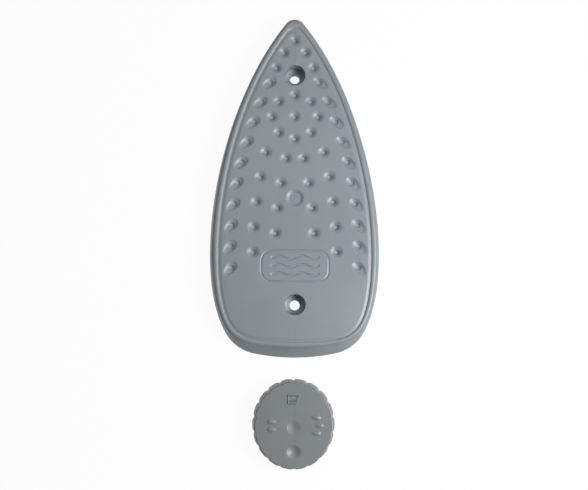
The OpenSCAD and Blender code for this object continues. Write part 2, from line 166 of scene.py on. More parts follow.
def softPath(corners, steps=4):  # a path whose corners are rounded, each by its own radius
    most = 0.49  # a rounding takes less than half of each side that meets in its corner
    path = []
    for i, (u, z, radius) in enumerate(corners):
        here = Vector((u, z))
        if radius == 0 or i in (0, len(corners) - 1):
            path.append((u, z))
            continue
        before = Vector(corners[i - 1][:2]) - here
        after = Vector(corners[i + 1][:2]) - here
        reach = min(radius / math.tan(before.angle(after) / 2), before.length * most, after.length * most)
        start, end = here + before.normalized() * reach, here + after.normalized() * reach
        for k in range(steps + 1):
            t = k / steps
            path.append(tuple(start * (1 - t) ** 2 + here * 2 * t * (1 - t) + end * t * t))
    return path


def bezier(a, b, c, d, t):
    return a * (1 - t) ** 3 + b * 3 * t * (1 - t) ** 2 + c * 3 * t * t * (1 - t) + d * t ** 3


def softStep(value, low, high):
    t = min(1, max(0, (value - low) / (high - low)))
    return t * t * (3 - 2 * t)


def softCut(depth, soft):  # a depth that fades out softly instead of ending at an edge
    steepest = 60  # keeps exp in range, far past any depth here
    return soft * math.log1p(math.exp(min(depth / soft, steepest)))


def circleReach(radius):  # how far a round feature reaches, by angle and share
    return lambda angle, share: radius * share


def roundedReach(halfW, halfL, radius):  # the same for a rounded rectangle, whose edge is found by halving
    halvings = 30

    @functools.cache
    def edge(angle):
        c, s = math.cos(angle), math.sin(angle)
        low, high = 0, math.hypot(halfW, halfL)
        for _ in range(halvings):
            middle = (low + high) / 2
            if roundedDistance(middle * c, middle * s, halfW, halfL, radius) < 0:
                low = middle
            else:
                high = middle
        return low
    return lambda angle, share: edge(angle) * share


def roundedDistance(x, y, halfW, halfL, radius):  # negative inside the rounded rectangle
    u, v = abs(x) - halfW + radius, abs(y) - halfL + radius
    return math.hypot(max(u, 0), max(v, 0)) + min(max(u, v), 0) - radius


def lineDistance(x, y, a, b):
    run = Vector(b) - Vector(a)
    fromA = Vector((x, y)) - Vector(a)
    t = min(1, max(0, fromA.dot(run) / run.length_squared))
    return (fromA - run * t).length


def loopDistance(place, loop):
    ends = list(zip(loop, loop[1:] + loop[:1]))
    return min(lineDistance(place[0], place[1], a[:2], b[:2]) for a, b in ends)


def bell(r, height, width, power=2):  # a soft bump, at a distance from its middle
    return height * math.exp(-(r / width) ** power)


def ballRadius(r, depth):  # of the ball that cuts a bowl of this radius and depth
    return (r * r + depth * depth) / (2 * depth)


def bowl(radius, depth, soft):  # the height of a hollow that a ball cuts, with a soft edge
    ball = ballRadius(radius, depth)

    def height(x, y):
        below = math.sqrt(max(ball * ball - math.hypot(x, y) ** 2, 0)) - ball + depth
        return -softCut(below, soft)
    return height


# the outline, the rim and the wall of the soleplate

plate = {
    "noseRadius": 6, "heelRadius": 105, "cornerRadius": 22.5, "widestAt": 56,
    "noseHalfAngle": math.radians(39), "cornerLean": math.radians(29), "cornerCentreShare": 0.376,
    "noseLeadShare": 0.354, "widestLeadShare": 0.306, "tailLeadShare": 0.3, "tailEndShare": 0.375,
    "wall": 2, "rimSide": 5.2, "rimHeel": 8.2, "rimNose": 8, "heelFadeShare": 0.175, "noseFadePower": 1.3,
    "crestOut": 1.45, "crestPower": 1.5, "shoulder": 2.2, "shoulderTurn": math.radians(75),
    "faceDrop": 0.15, "grooveDrop": 0.5, "grooveFloor": 0.4, "grooveSlope": 1.4,
    "grooveStart": 1.03, "grooveStraight": 0.6,  # a share of the slope, and how much of its fall is straight
    "footRound": 0.4, "footRings": [(0.015, 0.3), (0, 0.1), (0.01, 0)],  # shares of the wall and of footRound
    "footInside": 0.98, "footCorner": 0.05, "innerCorner": 1.6, "ceilingLead": 0.15,
    "heelSteps": 10, "cornerSteps": 22, "tailSteps": 18, "flankSteps": 84, "noseSteps": 20,
    "slopeRings": [0.04, 0.12, 0.22, 0.34, 0.46, 0.58, 0.7, 0.8, 0.89, 0.96, 1],
    "floorSteps": 4, "crestSteps": 10, "shoulderSteps": 15, "wallSteps": 6, "innerSteps": 8,
}
low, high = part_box("soleplate")
plate["width"], plate["length"], plate["height"] = (high - low) / mm
plate["heelAt"] = low.y / mm
plate["face"] = plate["height"] - plate["faceDrop"]
plate["ceiling"] = plate["face"] - plate["wall"]
plate["noseStretch"] = 1 / math.sin(plate["noseHalfAngle"])
plate["shoulderOut"] = plate["crestOut"] + plate["shoulder"] * math.sin(plate["shoulderTurn"])
plate["wallTop"] = plate["height"] - plate["shoulder"] * (1 - math.cos(plate["shoulderTurn"]))


def plateSide():  # the right half of the outline, from the middle of the heel to the tip of the nose
    w, l, r, nose = plate["width"], plate["length"], plate["cornerRadius"], plate["noseRadius"]
    heel = plate["heelRadius"]
    cornerX = w / 2 * plate["cornerCentreShare"]
    heelTurn = math.asin(cornerX / (heel - r))
    cornerY = heel - (heel - r) * math.cos(heelTurn)
    cornerTurn = math.pi / 2 - plate["cornerLean"]
    noseTurn = math.pi / 2 - plate["noseHalfAngle"]
    tail = Vector((cornerX + r * math.sin(cornerTurn), cornerY - r * math.cos(cornerTurn)))
    widest = Vector((w / 2, plate["widestAt"]))
    front = Vector((nose * math.sin(noseTurn), l - nose + nose * math.cos(noseTurn)))
    tailRun, flankRun = widest.y - tail.y, front.y - widest.y
    tailLead = Vector((math.sin(plate["cornerLean"]), math.cos(plate["cornerLean"])))
    noseLead = Vector((math.sin(plate["noseHalfAngle"]), -math.cos(plate["noseHalfAngle"])))
    side = []
    for k in range(plate["heelSteps"]):
        a = heelTurn * k / plate["heelSteps"]
        side.append(Vector((heel * math.sin(a), heel - heel * math.cos(a))))
    for k in range(plate["cornerSteps"]):
        a = heelTurn + (cornerTurn - heelTurn) * k / plate["cornerSteps"]
        side.append(Vector((cornerX + r * math.sin(a), cornerY - r * math.cos(a))))
    leave = tailLead * tailRun * plate["tailLeadShare"]
    arrive = Vector((0, tailRun * plate["tailEndShare"]))
    for k in range(plate["tailSteps"]):
        side.append(bezier(tail, tail + leave, widest - arrive, widest, k / plate["tailSteps"]))
    leave = Vector((0, flankRun * plate["widestLeadShare"]))
    arrive = noseLead * flankRun * plate["noseLeadShare"]
    for k in range(plate["flankSteps"]):
        side.append(bezier(widest, widest + leave, front + arrive, front, k / plate["flankSteps"]))
    for k in range(plate["noseSteps"] + 1):
        a = noseTurn * (1 - k / plate["noseSteps"])
        side.append(Vector((nose * math.sin(a), l - nose + nose * math.cos(a))))
    return side


plateRight = plateSide()
plateOutline = plateRight + [Vector((-p.x, p.y)) for p in reversed(plateRight[1:-1])]


def halfAt(y):  # half the width of the outline at a distance from the heel
    for a, b in zip(plateRight, plateRight[1:]):
        if a.y <= y <= b.y:
            return a.x + (b.x - a.x) * (y - a.y) / (b.y - a.y)


def leanAt(y):  # how far the outline leans in towards the nose there
    reach = plate["rimSide"]
    return math.atan((halfAt(y - reach) - halfAt(y + reach)) / (2 * reach))


def plateRing(side, heel, nose, z):  # the outline drawn in by its own amount at the sides, heel and nose
    shrink, length = 1 - 2 * side / plate["width"], plate["length"]
    ring = []
    for p in plateOutline:  # the heel's part fades out soon, the nose's along the whole length
        fade = max(0, 1 - p.y / (length * plate["heelFadeShare"])) ** 2
        y = p.y + heel * fade - nose * (p.y / length) ** plate["noseFadePower"]
        ring.append((p.x * shrink, y, z))
    return ring


def rimRing(out, z):  # a level of the rim's top, at a distance out from the middle of the groove
    nose = plate["rimNose"] - out * plate["noseStretch"]
    return plateRing(plate["rimSide"] - out, plate["rimHeel"] - out, nose, z)


def wallRing(share, z, inside=0):  # a level of the wall's lean at a share of it, and so many walls inside
    out, wall, stretch = plate["shoulderOut"], plate["wall"] * inside, plate["noseStretch"]
    side, heel = (plate["rimSide"] - out) * share + wall, (plate["rimHeel"] - out) * share + wall
    nose = (plate["rimNose"] - out * stretch) * share + wall * stretch
    return plateRing(side, heel, nose, z)


def rimLoops():  # from the sole face down into the groove, up to the crest and over the shoulder
    top, drop, slope = plate["height"], plate["grooveDrop"], plate["grooveSlope"]
    half, fall, straight = plate["grooveFloor"] / 2, drop - plate["faceDrop"], plate["grooveStraight"]
    crest, shoulder, steps = plate["crestOut"], plate["shoulder"], plate["shoulderSteps"]
    loops = [rimRing(-half - slope * plate["grooveStart"], plate["face"])]
    for t in plate["slopeRings"]:
        fallen = fall * (straight * t + (1 - straight) * softStep(t, 0, 1))
        loops.append(rimRing(-half - slope * (1 - t), plate["face"] - fallen))
    for a in arc(plate["floorSteps"])[1:-1]:
        loops.append(rimRing(half * math.sin(2 * a - math.pi / 2), top - drop))
    for a in arc(plate["crestSteps"]):
        z = top - drop * (1 - math.sin(a) ** plate["crestPower"])
        loops.append(rimRing(half + (crest - half) * (1 - math.cos(a)), z))
    for k in range(1, steps + 1):
        a = plate["shoulderTurn"] * k / steps
        loops.append(rimRing(crest + shoulder * math.sin(a), top - shoulder * (1 - math.cos(a))))
    return loops


def wallLoops():  # down the outside of the wall, round its foot and up inside it to the ceiling
    wallTop, steps = plate["wallTop"], plate["wallSteps"]
    loops = [wallRing(k / steps, wallTop * k / steps) for k in range(steps - 1, 0, -1)]
    loops += [wallRing(share, plate["footRound"] * rise) for share, rise in plate["footRings"]]
    knee, steps = plate["ceiling"] - plate["wall"], plate["innerSteps"]
    kneeShare = knee / wallTop
    loops += [wallRing(0, 0, plate["footInside"]), wallRing(0, plate["footCorner"], 1)]
    loops += [wallRing(kneeShare / 2, knee / 2, 1), wallRing(kneeShare, knee, 1)]
    for k in range(1, steps + 1):  # the rounded corner under the ceiling
        t = k / steps
        z = knee + plate["wall"] * (1 - (1 - t) ** 2)
        loops.append(wallRing(kneeShare + (1 - kneeShare) * t, z, 1 + (plate["innerCorner"] - 1) * t * t))
    loops.append(wallRing(1, plate["ceiling"], plate["innerCorner"] + plate["ceilingLead"]))
    return loops


# what is moulded into the soleplate

wells = {
    "rear": 27.3, "pitch": 121.8, "radius": 5.5, "depth": 7, "taper": 0.4, "wall": 2, "around": 72,
    "collar": 0.5, "edge": 0.2, "rim": 0.35,  # flat rings outside the mouth, and the mouth's rounding
    "dish": 0.6, "dishShare": 0.7, "dishRound": 0.35, "ledge": 4.3, "ledgeDrop": 0.25, "ledgeSlope": 0.1,
    "hole": 2.65, "holeEdge": 0.3, "holeSlope": 0.1, "fine": 0.08, "holeRound": 0.15, "boreRound": 0.1,
    "foot": 0.4, "footRound": 0.3, "root": 0.8, "rootRound": 0.6, "pathSteps": 6,
    "gussets": 4, "gussetThick": 1.4, "gussetLength": 6,
}


def wellPath():  # from the sole face down to the hole, through it, and up outside the boss to the ceiling
    face, ceiling, floor = plate["face"], plate["ceiling"], plate["face"] - wells["depth"]
    mouth, ledge, hole, foot = wells["radius"], wells["ledge"], wells["hole"], wells["foot"]
    dish, boss = floor + wells["dish"] * wells["dishShare"], mouth + wells["wall"]
    return softPath([
        (mouth + wells["collar"] + wells["edge"], face, 0), (mouth + wells["collar"], face, 0),
        (mouth, face, wells["rim"]), (mouth - wells["taper"], floor + wells["dish"], wells["dishRound"]),
        (ledge, dish, wells["fine"]), (ledge - wells["ledgeSlope"], dish - wells["ledgeDrop"], wells["fine"]),
        (hole + wells["holeSlope"], floor, wells["holeRound"]),
        (hole, floor - wells["holeEdge"], wells["boreRound"]), (hole, foot, wells["holeRound"]),
        (boss, foot, wells["footRound"]), (boss, ceiling, wells["rootRound"]),
        (boss + wells["root"], ceiling, 0),
    ], wells["pathSteps"])


def screwPlaces():
    return [(0, wells["rear"]), (0, wells["rear"] + wells["pitch"])]


gate = {
    "y": 83, "radius": 4.8, "floor": 2.8, "depth": 0.75, "spread": 0.2, "margin": 0.8,
    "stub": 0.6, "stubHeight": 0.3, "stubPower": 3, "bead": 1.7, "beadWidth": 0.28, "beadHeight": 0.1,
    "nick": (0.15, -0.1), "nickWidth": 0.28, "nickDepth": 0.25,
    "around": 72, "rings": [1] + spaced(0.95, 0, 44), "fade": 0.82,
}


def gateHeight(x, y):  # a shallow recess with a fine bead round the nicked stub in its middle
    r = math.hypot(x, y)
    sink = gate["depth"] * (1 - softStep(r, gate["floor"], gate["radius"] + gate["spread"]))
    bead = bell(r - gate["bead"], gate["beadHeight"], gate["beadWidth"])
    stub = bell(r, gate["stubHeight"], gate["stub"], gate["stubPower"])
    nick = bell(math.dist((x, y), gate["nick"]), gate["nickDepth"], gate["nickWidth"])
    return bead + stub - sink - nick


def addGate(skin):
    reach = circleReach(gate["radius"] + gate["margin"])
    return skin.patch((0, gate["y"]), 0, reach, gateHeight, gate, plate["face"])


panel = {
    "y": 47.4, "width": 36, "length": 17, "round": 6, "margin": 0.5,
    "line": 0.9, "lineDepth": 0.4, "lineFloor": 0.2, "lineEdge": 1.15,  # the last two in its half widths
    "waves": 3, "waveDepth": 0.4, "waveWidth": 1.3, "waveLength": 24, "swing": 0.9, "pitch": 4.4, "turns": 2,
    "edgeIn": 0.35, "edgeOut": 0.15,
    "around": 200, "rings": [1, 0.985] + spaced(0.97, 0.01, 54), "fade": 0.985,
}


def panelHeight(x, y):
    d = roundedDistance(x, y, panel["width"] / 2, panel["length"] / 2, panel["round"])
    across = (d + panel["line"] / 2) / (panel["line"] / 2)  # -1 to 1 across the line cut round the panel
    cut = panel["lineDepth"] * (1 - softStep(abs(across), panel["lineFloor"], panel["lineEdge"]))
    swing, length, half = panel["swing"], panel["waveLength"], panel["waveWidth"] / 2
    sunk = 0
    for k in range(panel["waves"]):
        middle = (k - (panel["waves"] - 1) / 2) * panel["pitch"]
        along = min(max(x, -length / 2), length / 2)
        phase = 2 * math.pi * panel["turns"] * (along / length + 0.5)
        slope = swing * 2 * math.pi * panel["turns"] / length * math.cos(phase)
        off = (y - middle - swing * math.sin(phase)) / math.hypot(1, slope)
        near = math.hypot(off, x - along)
        sunk = max(sunk, 1 - softStep(near, half - panel["edgeIn"], half + panel["edgeOut"]))
    return -panel["waveDepth"] * sunk - cut


def addPanel(skin):
    margin = panel["margin"]
    reach = roundedReach(panel["width"] / 2 + margin, panel["length"] / 2 + margin, panel["round"] + margin)
    return skin.patch((0, panel["y"]), 0, reach, panelHeight, panel, plate["face"])


dimples = {
    "depth": 1.2, "bell": 2.15, "power": 2.4, "reach": 3.7, "clear": 0.03,
    "step": 0.5, "stepIn": 0.9, "stepOut": 1.45,  # down into the blind vent, in the scoops too
    "around": 30, "fade": 0.82,
    "rings": [1, 0.96, 0.92, 0.88, 0.83, 0.78, 0.73, 0.68, 0.63, 0.57, 0.52, 0.48, 0.45, 0.42, 0.39, 0.36,
              0.33, 0.3, 0.27, 0.24, 0.2, 0.15, 0.1, 0.05],  # closest together over the step
    "rowPitch": 11.5, "pitch": 13.2, "rowY": 54.6, "outerRow": 5, "innerRow": 4, "innerLeadShare": 0.75,
    "aheadShares": [(0, 0.57), (0.127, 0.37), (0.22, 0.12)],
    "behindShares": [(0, 0.836), (0.188, 0.78), (0, 0.656), (0.271, 0.656), (0.191, 0.527), (0, 0.48)],
}


def ventHeight(r):
    return dimples["step"] * (softStep(r, dimples["stepIn"], dimples["stepOut"]) - 1)


def dimpleHeight(x, y):
    r = math.hypot(x, y)
    return ventHeight(r) - bell(r, dimples["depth"], dimples["bell"], dimples["power"])


def dimplePlaces():  # on the right and the middle line, and the right ones again on the left
    half, places = plate["width"] / 2, []
    front = wells["rear"] + wells["pitch"]
    for x, y in dimples["aheadShares"]:
        places.append((x * half, front + y * (plate["length"] - front)))
    for x, y in dimples["behindShares"]:
        places.append((x * half, gate["y"] + y * (front - gate["y"])))
    for k in range(dimples["outerRow"]):
        y = dimples["rowY"] + k * dimples["pitch"]
        places.append((halfAt(y) - scoops["inset"] - dimples["rowPitch"], y))
    for k in range(dimples["innerRow"]):
        y = dimples["rowY"] + (k + dimples["innerLeadShare"]) * dimples["pitch"]
        places.append((halfAt(y) - scoops["inset"] - 2 * dimples["rowPitch"], y))
    return places + [(-x, y) for x, y in places if x > 0]


def addDimples(skin, rim):
    holes = []
    for place in dimplePlaces():
        reach = circleReach(min(dimples["reach"], loopDistance(place, rim) - dimples["clear"]))
        holes.append(skin.patch(place, 0, reach, dimpleHeight, dimples, plate["face"]))
    return holes


scoops = {
    "count": 10, "y": 46.5, "inset": 11.7, "pitch": 11.2,
    "turnRear": math.radians(50), "turnFront": math.radians(34),
    "depth": 0.5, "bell": 1.7,
    "tailDepth": 0.55, "tailBell": 2.85, "tailPower": 6, "tailSlim": 0.8,
    "reach": 3.5, "stretchIn": 1.13, "stretchOut": 1.68,
    "ventZone": 2, "zoneShare": 0.5,
    "around": 40, "rings": spaced(1, 0.5, 18) + spaced(0.5, 0, 14), "fade": 0.82,
}


def scoopStretch(x):
    return scoops["stretchOut"] if x > 0 else scoops["stretchIn"]


def scoopHeight(x, y):  # a vent and a small bowl in a dish that is drawn out most towards the rim
    r = math.hypot(x, y)
    tail = math.hypot(x / scoopStretch(x), y / scoops["tailSlim"])
    dish = bell(tail, scoops["tailDepth"], scoops["tailBell"], scoops["tailPower"])
    return ventHeight(r) - bell(r, scoops["depth"], scoops["bell"]) - dish


def scoopReach(angle, share):  # circles about the vent, and further out rings that near the scoop's edge
    x, y = math.cos(angle), math.sin(angle)
    zone, inner = scoops["ventZone"], scoops["zoneShare"]
    edge = scoops["reach"] / math.hypot(x / scoopStretch(x), y)
    return zone * share / inner if share < inner else zone + (edge - zone) * (share - inner) / (1 - inner)


def scoopPlaces():
    places, last, y = [], scoops["count"] - 1, scoops["y"]
    for k in range(scoops["count"]):
        turn = scoops["turnRear"] + (scoops["turnFront"] - scoops["turnRear"]) * k / last
        x = halfAt(y) - scoops["inset"] / math.cos(leanAt(y))
        places += [(x, y, -turn), (-x, y, math.pi + turn)]
        y += scoops["pitch"] * math.cos(leanAt(y))
    return places


def addScoops(skin):
    holes = []
    for x, y, turn in scoopPlaces():
        holes.append(skin.patch((x, y), turn, scoopReach, scoopHeight, scoops, plate["face"]))
    return holes


back = {
    "ribThick": 1.4, "ribHeight": 3, "crossRibs": 5, "flare": 0.6, "overlap": 0.5,
    "studHeight": 1, "studRadius": 3.1, "studMargin": 0.25, "studSink": 0.3, "studRound": 0.3,
    "studSlope": 1.5, "studSpread": 0.1, "studTop": 1,  # in from its radius, out from it, and in again
    "around": 18, "rings": [1, 0.93, 0.84, 0.74, 0.64, 0.54, 0.44], "fade": 0.82,
}


def studHeight(x, y):
    r, edge = math.hypot(x, y), back["studRadius"]
    return -back["studHeight"] * (1 - softStep(r, edge - back["studSlope"], edge + back["studSpread"]))


def studPath():  # a stud as a shell of its own, from its foot up into the ceiling
    ceiling, r = plate["ceiling"], back["studRadius"]
    foot = ceiling - back["studHeight"]
    return softPath([
        (r / 3, foot, 0), (r - back["studTop"], foot, back["studRound"]), (r, ceiling, 0),
        (r, ceiling + back["studSink"], 0),
    ])


def addStuds(skin, rim):  # one behind each dimple and scoop
    ceiling, boss = plate["ceiling"], wells["radius"] + wells["wall"]
    holes = []
    for x, y in dimplePlaces() + [(x, y) for x, y, _ in scoopPlaces()]:
        radius = min(back["studRadius"] + back["studMargin"], loopDistance((x, y), rim) - dimples["clear"])
        free = min(math.dist((x, y), place) for place in screwPlaces()) - boss - wells["root"]
        if free > radius:
            holes.append(skin.patch((x, y), 0, circleReach(radius), studHeight, back, ceiling))
        else:  # it runs into a boss
            foot, top = skin.turned((x, y), studPath(), back["around"])
            skin.close(foot, (x, y, ceiling - back["studHeight"]))
            skin.close(top, (x, y, ceiling + back["studSink"]))
    return holes


def addRibs(skin):  # across the hollow, along its middle, and as gussets round the two bosses
    ceiling, boss = plate["ceiling"], wells["radius"] + wells["wall"]
    root, gussetEnd = boss - back["overlap"], boss + wells["gussetLength"]
    ribFoot, gussetFoot = ceiling - back["ribHeight"], wells["foot"] + back["ribHeight"]
    first, run = wells["rear"] + gussetEnd, wells["pitch"] - 2 * gussetEnd
    for k in range(back["crossRibs"]):
        y = first + run * k / (back["crossRibs"] - 1)
        half = halfAt(y) - plate["rimSide"] + plate["shoulderOut"] - plate["wall"] / 2
        skin.bar((-half, y), (half, y), back["ribThick"], ribFoot, ceiling, back["flare"])
    skin.bar((0, wells["rear"] + root), (0, wells["rear"] + wells["pitch"] - root),
             back["ribThick"], ribFoot, ceiling, back["flare"])
    for x, y in screwPlaces():
        for k in range(wells["gussets"]):
            a = 2 * math.pi * (k + 0.5) / wells["gussets"]
            c, s = math.cos(a), math.sin(a)
            skin.bar((x + c * root, y + s * root), (x + c * gussetEnd, y + s * gussetEnd),
                     wells["gussetThick"], gussetFoot, ceiling, back["flare"])


def makeSoleplate():
    skin = Skin()
    loops = rimLoops() + wallLoops()
    faceRim, ceilingRim = skin.stack(loops)
    faceHoles = addDimples(skin, loops[0]) + addScoops(skin)
    ceilingHoles = addStuds(skin, loops[-1])
    addRibs(skin)
    for place in screwPlaces():
        mouth, root = skin.turned(place, wellPath(), wells["around"])
        faceHoles.append(mouth)
        ceilingHoles.append(root)
    faceHoles += [addGate(skin), addPanel(skin)]
    skin.sheet(faceRim, faceHoles)
    skin.sheet(ceilingRim, ceilingHoles)
    return skin.piece("soleplateMoulding", Vector((0, plate["heelAt"], 0)))


# the dial

dial = {
    "length": 46.6, "taper": 1.2, "wall": 1.8, "markHeight": 0.5,
    "lobes": 18, "lobeSteps": 20, "notch": 0.7, "notchFade": 0.45, "sharpness": 6,
    "edge": 0.7, "edgeLead": 1.4, "edgeSteps": 8, "skirtSteps": 5,
    "footRound": 0.3, "footRings": [(0.02, 1), (0, 0.4), (0.05, 0)],  # insets, and shares of footRound
    "footLand": 0.1, "footCorner": 0.05, "innerCorner": 0.8, "ceilingLead": 1,
    "around": 60, "rings": [1, 0.96] + spaced(0.92, 0.02, 30), "fade": 0.82,  # of the bowls in its face
}
low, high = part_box("dial")
dial["width"], dial["height"] = (high.x - low.x) / mm, high.z / mm - dial["markHeight"]
dial["centre"] = Vector(((low.x + high.x) / 2 / mm, (low.y + high.y) / 2 / mm, 0))
dial["ceiling"] = dial["height"] - dial["wall"]
dial["inner"] = dial["wall"] + dial["notch"]


def dialRing(inset, notch, z):
    ring = []
    for a in roundAngles(dial["lobes"] * dial["lobeSteps"]):
        cut = inset + notch * ((1 + math.cos(dial["lobes"] * (a - math.pi / 2))) / 2) ** dial["sharpness"]
        ring.append(((dial["width"] / 2 - cut) * math.cos(a), (dial["length"] / 2 - cut) * math.sin(a), z))
    return ring


def dialLoops():  # from the face over the edge and down the skirt, then up inside it to the ceiling
    top, edge, taper, steps = dial["height"], dial["edge"], dial["taper"], dial["skirtSteps"]
    inside, ceiling = dial["inner"] + taper, dial["ceiling"]
    outer = [(taper + edge * dial["edgeLead"], top)]
    for a in arc(dial["edgeSteps"]):
        outer.append((taper + edge * (1 - math.sin(a)), top - edge * (1 - math.cos(a))))
    outer += [(taper * k / steps, (top - edge) * k / steps) for k in range(steps - 1, 0, -1)]
    outer += [(inset, dial["footRound"] * rise) for inset, rise in dial["footRings"]]
    inner = softPath([
        (dial["inner"] - dial["footLand"], 0, 0), (dial["inner"], 0, dial["footCorner"]),
        (inside, ceiling, dial["innerCorner"]), (inside + dial["ceilingLead"], ceiling, 0),
    ])
    loops = []
    for inset, z in outer:  # the notches fade towards the face
        loops.append(dialRing(inset, dial["notch"] * (1 - dial["notchFade"] * z / top), z))
    return loops + [dialRing(inset, 0, z) for inset, z in inner]


bowls = {
    "finger": {"y": -13.3, "radius": 3.2, "depth": 1, "soft": 0.22, "margin": 1.2},
    "middle": {"y": -1.1, "radius": 2.4, "depth": 0.4, "soft": 0.33, "margin": 1.2},
}


def addBowl(skin, spec):
    reach = circleReach(spec["radius"] + spec["margin"])
    height = bowl(spec["radius"], spec["depth"], spec["soft"])
    return skin.patch((0, spec["y"]), 0, reach, height, dial, dial["height"])


dots = {
    "x": 11.8, "pitch": 3.9, "bulge": 1.6, "half": 1.4, "soft": 0.05,
    "point": (2.9, 1.6), "blunt": (1.9, 2.4),  # lengths, and powers of the outline
    "endMargin": 0.35, "sideMargin": 0.45, "around": dial["around"], "rings": dial["rings"], "fade": 0.93,
}


def dotPlaces():  # three marks on the right and two on the left, with their points towards the middle
    right = [(dots["x"] + dots["bulge"] * (1 - abs(k)), k * dots["pitch"], 0) for k in (-1, 0, 1)]
    return right + [(-dots["x"], s * dots["pitch"] / 2, math.pi) for s in (-1, 1)]


def dotHeight(x, y):  # a raised drop, pointed on one side and blunt on the other
    tall = dial["markHeight"]
    end, power = dots["point" if x < 0 else "blunt"]
    lift = ballRadius(dots["half"], tall) - tall
    across = lift + tall * (1 - abs(x / end) ** power)
    raised = softCut(math.sqrt(max(across * across - y * y, 0)) - lift, dots["soft"])
    return min(raised, tall)


def dotReach(angle, share):
    x, y = math.cos(angle), math.sin(angle)
    long = dots["point" if x < 0 else "blunt"][0] + dots["endMargin"]
    return share / math.hypot(x / long, y / (dots["half"] + dots["sideMargin"]))


sign = {
    "y": 13, "width": 6.5, "length": 4.6, "line": 0.7, "noseShare": 0.3, "bodyShare": 0.62,
    "edgeIn": 0.3, "edgeOut": 0.2, "margin": 0.5, "round": 0.8,
    "around": 216, "rings": [1, 0.965] + spaced(0.925, 0.015, 40), "fade": 0.965,
}


def signStrokes():  # a small iron lying sole up, as lines between points
    w, l, h = sign["width"], sign["length"], sign["line"] / 2
    nose, body = w * sign["noseShare"], l * (1 - sign["bodyShare"])
    corners = [(h, l - h), (w - h, l - h), (w - nose, body), (h, body)]
    strokes = list(zip(corners, corners[1:] + corners[:1]))
    strokes += [((h, body), (h, h)), ((h, h), (w - nose, h))]
    shift = Vector((w / 2, l / 2))
    return [(Vector(a) - shift, Vector(b) - shift) for a, b in strokes]


strokes = signStrokes()


def signHeight(x, y):
    near, half = min(lineDistance(x, y, a, b) for a, b in strokes), sign["line"] / 2
    return dial["markHeight"] * (1 - softStep(near, half - sign["edgeIn"], half + sign["edgeOut"]))


def addMarks(skin):
    holes = []
    for x, y, turn in dotPlaces():
        holes.append(skin.patch((x, y), turn, dotReach, dotHeight, dots, dial["height"]))
    margin = sign["margin"]
    reach = roundedReach(sign["width"] / 2 + margin, sign["length"] / 2 + margin, sign["round"])
    holes.append(skin.patch((0, sign["y"]), 0, reach, signHeight, sign, dial["height"]))
    return holes


hub = {
    "radius": 4.6, "foot": 0.5, "footRound": 0.3, "root": 1.4, "rootRound": 0.8, "around": 64,
    "pivotRadius": 2.1, "pivotDepth": 7.4, "pivotRound": 0.2,
    "spokes": 6, "spokeThick": 1.2, "spokeFoot": 5, "spokeFlare": 0.5, "overlap": 0.5,
}
hub["pivotEnd"] = hub["foot"] + hub["pivotDepth"]


def hubPath():  # from the ceiling down the hub, over its foot and up the blind pivot hole
    ceiling, r, pivot = dial["ceiling"], hub["radius"], hub["pivotRadius"]
    return softPath([
        (r + hub["root"], ceiling, 0), (r, ceiling, hub["rootRound"]), (r, hub["foot"], hub["footRound"]),
        (pivot, hub["foot"], hub["footRound"]), (pivot, hub["pivotEnd"], hub["pivotRound"]),
        (pivot / 2, hub["pivotEnd"], 0),
    ])


def addSpokes(skin):
    inner = hub["radius"] - hub["overlap"]
    outer = min(dial["width"], dial["length"]) / 2 - dial["inner"] + dial["notch"] / 2
    for k in range(hub["spokes"]):
        a = 2 * math.pi * (k + 0.5) / hub["spokes"]
        c, s = math.cos(a), math.sin(a)
        skin.bar((inner * c, inner * s), (outer * c, outer * s), hub["spokeThick"], hub["spokeFoot"],
                 dial["ceiling"], hub["spokeFlare"])


def makeDial():
    skin = Skin()
    faceRim, ceilingRim = skin.stack(dialLoops())
    skin.sheet(faceRim, [addBowl(skin, spec) for spec in bowls.values()] + addMarks(skin))
    root, end = skin.turned((0, 0), hubPath(), hub["around"])
    skin.close(end, (0, 0, hub["pivotEnd"]))
    skin.sheet(ceilingRim, [root])
    addSpokes(skin)
    return skin.piece("dialMoulding", dial["centre"])


# shader tools

class Wire:  # a socket that can take part in sums
    def __init__(self, look, socket):
        self.look = look
        self.socket = socket

    def sum(self, operation, first, second):
        return self.look.node("ShaderNodeMath", {"operation": operation}, {0: first, 1: second})

    def __add__(self, other):
        return self.sum("ADD", self, other)

    def __radd__(self, other):
        return self.sum("ADD", other, self)

    def __sub__(self, other):
        return self.sum("SUBTRACT", self, other)

    def __rsub__(self, other):
        return self.sum("SUBTRACT", other, self)

    def __mul__(self, other):
        return self.sum("MULTIPLY", self, other)

    def __rmul__(self, other):
        return self.sum("MULTIPLY", other, self)

    def __abs__(self):
        return self.sum("ABSOLUTE", self, 0)


